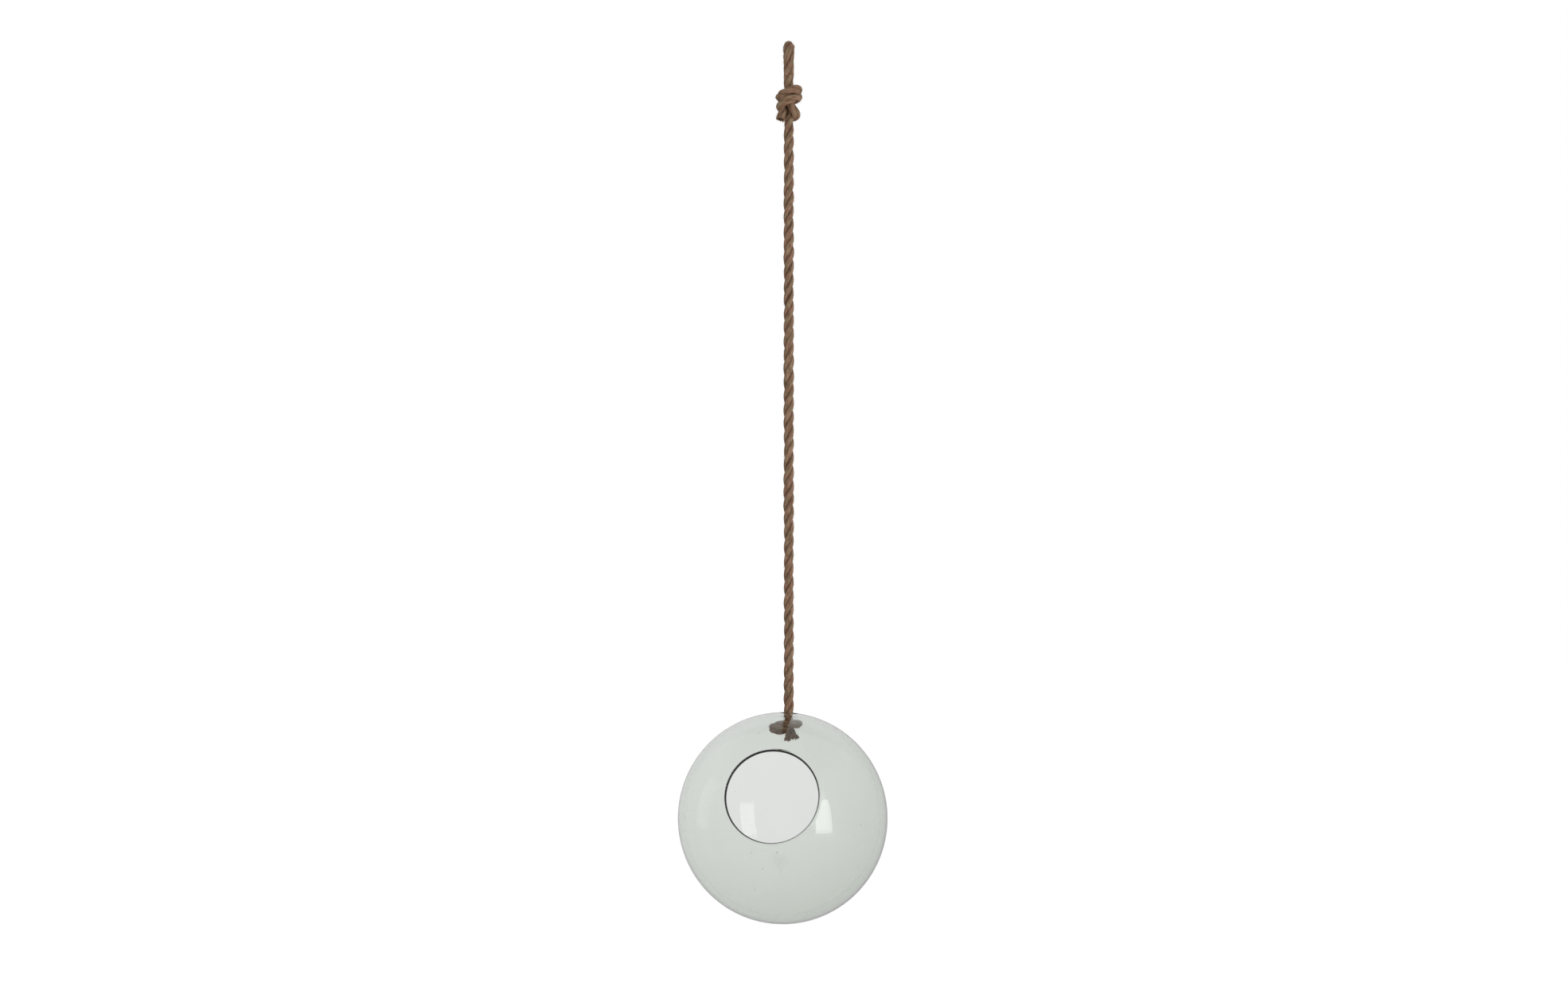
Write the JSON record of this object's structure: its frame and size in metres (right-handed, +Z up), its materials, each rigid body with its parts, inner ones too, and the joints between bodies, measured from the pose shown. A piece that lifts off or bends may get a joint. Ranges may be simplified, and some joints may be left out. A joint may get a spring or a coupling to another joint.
{
  "type": "hanging glass propagation vase",
  "caption": "Hollow blown-glass ball with a round side mouth, hung on a laid jute rope by a stopper knot inside it, with a tied eye at the rope's top.",
  "frame": {"origin": "where the hook bears, at the inside top of the rope's eye", "axes": "+Z up along the hanging rope, the ball's mouth looks towards -Y, a hook passes through the eye along X"},
  "size_m": [0.15, 0.1497, 0.6305],
  "materials": {
    "jute_rope": "coarse three-strand laid jute fibre",
    "recycled_glass": "clear blown glass with a pale grey-green tint, seeds and a fire-polished rim"
  },
  "bodies": {
    "eye": {"rope_loop": "jute_rope"},
    "knot": {"loop_knot": "jute_rope"},
    "rope": {"hanging_rope": "jute_rope"},
    "neck": {"rope_neck": "jute_rope"},
    "stopper": {"stopper_knot": "jute_rope"},
    "globe": {"glass_globe": "recycled_glass"}
  },
  "joints": [
    {"name": "side_swing", "type": "hinge", "parent": "eye", "child": "knot", "pos_m": [0, 0, -0.02], "axis": [0, 1, 0], "range_deg": [-45, 45]},
    {"name": "fore_swing", "type": "hinge", "parent": "knot", "child": "rope", "pos_m": [0, 0, -0.0535], "axis": [1, 0, 0], "range_deg": [-45, 45]},
    {"name": "side_tip", "type": "hinge", "parent": "rope", "child": "neck", "pos_m": [0, 0, -0.4385], "axis": [0, 1, 0], "range_deg": [-45, 45]},
    {"name": "fore_tip", "type": "hinge", "parent": "neck", "child": "stopper", "pos_m": [0, 0, -0.4625], "axis": [1, 0, 0], "range_deg": [-45, 45]},
    {"name": "globe_turn", "type": "hinge", "parent": "stopper", "child": "globe", "pos_m": [0, 0, -0.4725], "axis": [0, 0, 1], "continuous": true}
  ]
}
